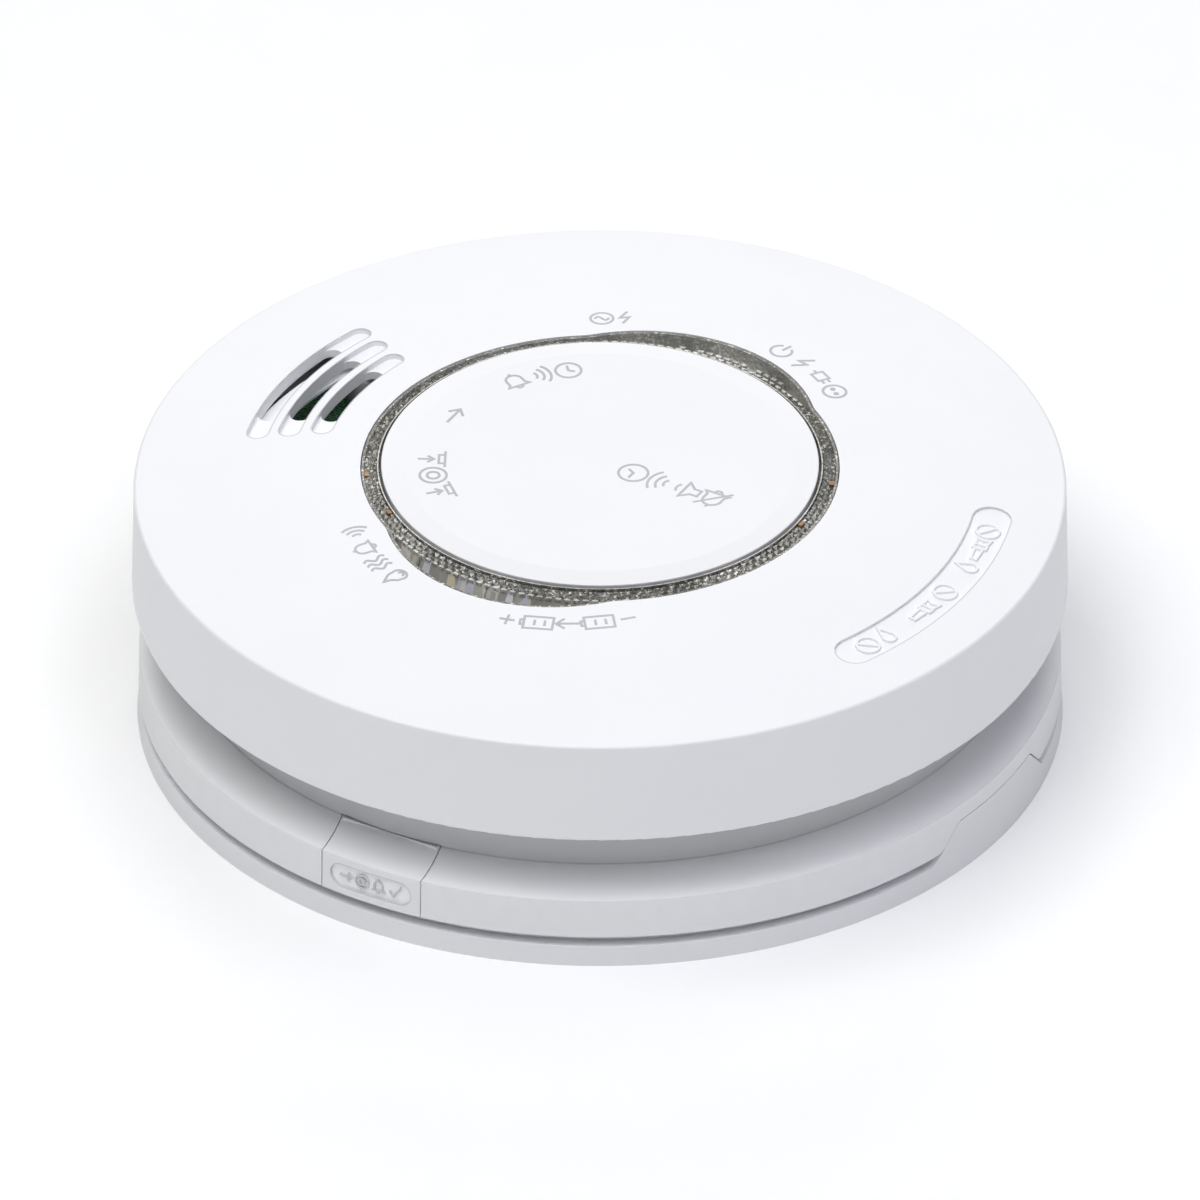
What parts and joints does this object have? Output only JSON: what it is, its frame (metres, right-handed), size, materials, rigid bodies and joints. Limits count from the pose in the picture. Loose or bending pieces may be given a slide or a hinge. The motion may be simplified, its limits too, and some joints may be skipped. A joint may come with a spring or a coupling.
{
  "type": "smoke detector",
  "caption": "Round domed ceiling smoke alarm with a hinged head, press-to-test disc inside a clear ring, curved sounder slots, push-to-open rim button and a wired mounting base.",
  "frame": {"origin": "centre of the ceiling face of the mounting base", "axes": "+Z points out of the ceiling face towards the room, +Y towards the hinge, -X towards the sounder slots"},
  "size_m": [0.13, 0.13, 0.0413],
  "materials": {
    "white_plastic": "fine satin mould finish",
    "button_plastic": "smooth satin",
    "clear_plastic": "clear polycarbonate with prism ribs",
    "steel": "bright zinc plate",
    "brass": "plain",
    "block_plastic": "glass-filled",
    "board": "solder mask",
    "black_plastic": "light-absorbing",
    "grey_plastic": "satin",
    "ceramic": "fired",
    "capacitor_case": "moulded",
    "sleeve": "shrink sleeve",
    "varistor_coat": "epoxy coat",
    "resistor_coat": "cement coat",
    "ferrite": "ferrite",
    "green_lens": "diffused",
    "red_lens": "diffused",
    "amber_lens": "diffused",
    "dark_lens": "infrared resin",
    "battery_jacket": "plain jacket"
  },
  "bodies": {
    "base": {"mounting_base": "white_plastic", "terminal_block": "block_plastic", "terminal_clamps": "brass", "terminal_screws": "steel", "contact_springs": "brass", "hinge_pin": "steel", "block_rivets": "steel"},
    "head": {"rear_housing": "white_plastic", "front_cover": "white_plastic", "lens_ring": "clear_plastic", "lens_screws": "steel", "cover_screws": "steel", "board_screws": "steel", "button_spring": "steel", "release_spring": "steel", "insect_screen": "steel", "horn_contacts": "steel", "battery_terminals": "steel", "mains_pads": "brass", "piezo_disc": "brass", "battery_contacts": "brass", "main_board": "board", "chamber_base": "black_plastic", "chamber_cap": "black_plastic", "controller_chip": "black_plastic", "switch_body": "black_plastic", "bridge_rectifier": "black_plastic", "horn_housing": "grey_plastic", "piezo_ceramic": "ceramic", "chip_resistors": "ceramic", "film_capacitor": "capacitor_case", "electrolytic_capacitors": "sleeve", "varistor": "varistor_coat", "fuse_resistor": "resistor_coat", "horn_coil": "ferrite", "power_led": "green_lens", "alarm_led": "red_lens", "battery_led": "amber_lens", "infrared_emitter": "dark_lens", "photodiode": "dark_lens", "battery_9v": "battery_jacket"},
    "test_button": {"test_button": "button_plastic"},
    "switch_plunger": {"switch_plunger": "grey_plastic"},
    "release_button": {"release_button": "white_plastic"}
  },
  "joints": [
    {"name": "head_hinge", "type": "hinge", "parent": "base", "child": "head", "pos_m": [0, 0.0612, 0.0044], "axis": [-1, 0, 0], "range_deg": [0, 90]},
    {"name": "test_press", "type": "slide", "parent": "head", "child": "test_button", "axis": [0, 0, -1], "range_m": [0, 0.0012], "stiffness_N_per_m": 500, "springref_m": -0.002, "deforming": ["button_spring"]},
    {"name": "switch_press", "type": "slide", "parent": "head", "child": "switch_plunger", "axis": [0, 0, -1], "range_m": [0, 0.0003]},
    {"name": "release_press", "type": "slide", "parent": "head", "child": "release_button", "axis": [0, 1, 0], "range_m": [0, 0.0016], "stiffness_N_per_m": 600, "springref_m": -0.002, "deforming": ["release_spring"]}
  ],
  "couplings": [
    {"joint": "switch_press", "follows": "test_press", "ratio": 0.2083}
  ]
}
